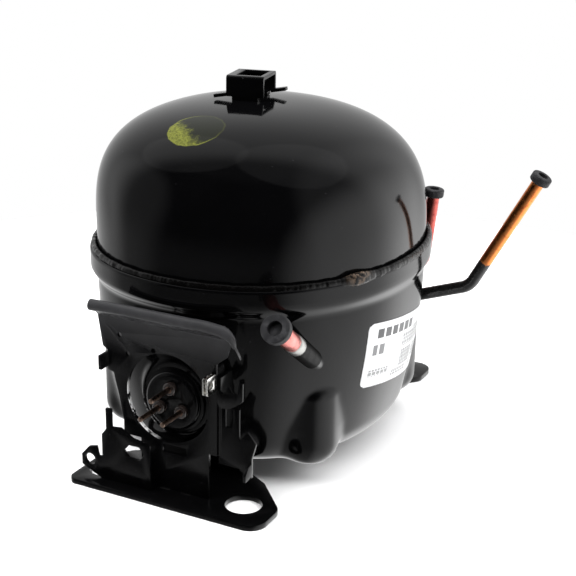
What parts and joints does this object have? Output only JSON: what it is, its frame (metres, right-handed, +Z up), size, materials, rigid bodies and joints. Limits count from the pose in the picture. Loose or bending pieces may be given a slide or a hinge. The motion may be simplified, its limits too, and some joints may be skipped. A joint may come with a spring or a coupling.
{
  "type": "hermetic reciprocating compressor",
  "caption": "Sealed refrigeration compressor: black domed steel shell on two feet, open wiring bracket, plugged copper stubs, sprung piston pump with motor inside.",
  "frame": {"origin": "centre of the four foot holes, on the underside of the feet", "axes": "+Z up, square to the feet; -Y towards the terminal end; X across the shell, with the long discharge stub on the +X side"},
  "size_m": [0.1955, 0.2033, 0.172],
  "materials": {
    "shell_enamel": "high-gloss black enamel over deep-drawn steel",
    "weld_enamel": "black enamel over a rough weld bead",
    "bracket_enamel": "semi-gloss black enamel on pressed steel",
    "tube_copper": "drawn copper, lower part painted black",
    "plug_rubber": "matt black rubber",
    "label_film": "white polyester film with grey print",
    "terminal_steel": "dulled plated steel",
    "terminal_glass": "dark glass bead",
    "pin_alloy": "copper-cored steel pin",
    "tin_plate": "bright tin plate",
    "spring_steel": "oiled spring steel",
    "lamination_steel": "stacked electrical steel",
    "winding_wire": "varnished copper winding",
    "cast_metal": "as-cast grey iron",
    "machined_steel": "ground and phosphated steel",
    "rotor_alloy": "die-cast aluminium",
    "moulded_plastic": "natural glass-filled moulding",
    "lead_sleeve": "woven sleeve over copper leads",
    "fastener_steel": "yellow-passivated steel"
  },
  "bodies": {
    "housing": {"lower_shell": "shell_enamel", "upper_shell": "shell_enamel", "weld_bead": "weld_enamel", "tray_holder": "bracket_enamel", "rating_label": "label_film", "front_foot": "bracket_enamel", "rear_foot": "bracket_enamel", "terminal_cup": "terminal_steel", "terminal_glass_seals": "terminal_glass", "terminal_pins": "pin_alloy", "terminal_fence": "bracket_enamel", "ground_tab": "tin_plate", "cord_anchor_bracket": "bracket_enamel", "relay_clip_bracket": "bracket_enamel", "suction_collar": "shell_enamel", "suction_tube": "tube_copper", "discharge_tube": "tube_copper", "process_tube": "tube_copper", "spring_seats": "machined_steel", "lower_snubbers": "moulded_plastic", "motor_connector": "moulded_plastic", "suspension_springs": "spring_steel", "discharge_line": "tube_copper", "motor_leads": "lead_sleeve"},
    "pump_unit": {"stator_core": "lamination_steel", "upper_winding": "winding_wire", "lower_winding": "winding_wire", "stator_screws": "fastener_steel", "upper_snubbers": "moulded_plastic", "crankcase": "cast_metal", "thrust_washer": "machined_steel", "valve_plate": "machined_steel", "discharge_valve_stop": "machined_steel", "head_gasket": "moulded_plastic", "cylinder_head": "rotor_alloy", "head_screws": "fastener_steel", "suction_muffler": "moulded_plastic", "discharge_muffler": "fastener_steel"},
    "crank_rotor": {"crankshaft": "machined_steel", "rotor_core": "lamination_steel", "rotor_end_rings": "rotor_alloy", "counterweight": "cast_metal", "oil_pump_tube": "machined_steel"},
    "slide_block": {"slide_block": "machined_steel"},
    "oil_gallery_plug": {"oil_gallery_plug": "machined_steel"},
    "piston": {"piston": "machined_steel"},
    "suction_reed": {"suction_reed": "spring_steel"},
    "discharge_reed": {"discharge_reed": "spring_steel"},
    "suction_plug": {"suction_plug": "plug_rubber"},
    "discharge_plug": {"discharge_plug": "plug_rubber"},
    "process_plug": {"process_plug": "plug_rubber"}
  },
  "joints": [
    {"name": "pump_bounce", "type": "slide", "parent": "housing", "child": "pump_unit", "axis": [0, 0, 1], "range_m": [-0.0025, 0.0025], "stiffness_N_per_m": 11000, "springref_m": 0.00345, "deforming": ["suspension_springs", "discharge_line", "motor_leads"]},
    {"name": "crank_spin", "type": "hinge", "parent": "pump_unit", "child": "crank_rotor", "pos_m": [0, 0, 0.09], "axis": [0, 0, 1], "continuous": true},
    {"name": "slide_block_turn", "type": "hinge", "parent": "crank_rotor", "child": "slide_block", "pos_m": [0, 0.008, 0.112], "axis": [0, 0, 1], "continuous": true},
    {"name": "gallery_plug_turn", "type": "hinge", "parent": "crank_rotor", "child": "oil_gallery_plug", "pos_m": [0, 0.004, 0.117], "axis": [0, 0, 1], "continuous": true},
    {"name": "piston_travel", "type": "hinge", "parent": "oil_gallery_plug", "child": "piston", "pos_m": [0, 0.008, 0.112], "axis": [0, 0, 1], "continuous": true},
    {"name": "suction_reed_flex", "type": "hinge", "parent": "pump_unit", "child": "suction_reed", "pos_m": [0, 0.0443, 0.1039], "axis": [1, 0, 0], "range_deg": [0, 5], "stiffness_Nm_per_rad": 0.02},
    {"name": "discharge_reed_flex", "type": "hinge", "parent": "pump_unit", "child": "discharge_reed", "pos_m": [0, 0.0468, 0.103], "axis": [-1, 0, 0], "range_deg": [0, 6], "stiffness_Nm_per_rad": 0.02},
    {"name": "suction_plug_pull", "type": "slide", "parent": "housing", "child": "suction_plug", "axis": [0.0506, -0.8212, 0.5684], "range_m": [0, 0.04]},
    {"name": "discharge_plug_pull", "type": "slide", "parent": "housing", "child": "discharge_plug", "axis": [0.473, 0, 0.8811], "range_m": [0, 0.04]},
    {"name": "process_plug_pull", "type": "slide", "parent": "housing", "child": "process_plug", "axis": [0.0942, 0, 0.9956], "range_m": [0, 0.04]}
  ],
  "couplings": [
    {"joint": "slide_block_turn", "follows": "crank_spin", "ratio": -1},
    {"joint": "gallery_plug_turn", "follows": "crank_spin", "ratio": -2},
    {"joint": "piston_travel", "follows": "crank_spin", "ratio": 1}
  ]
}
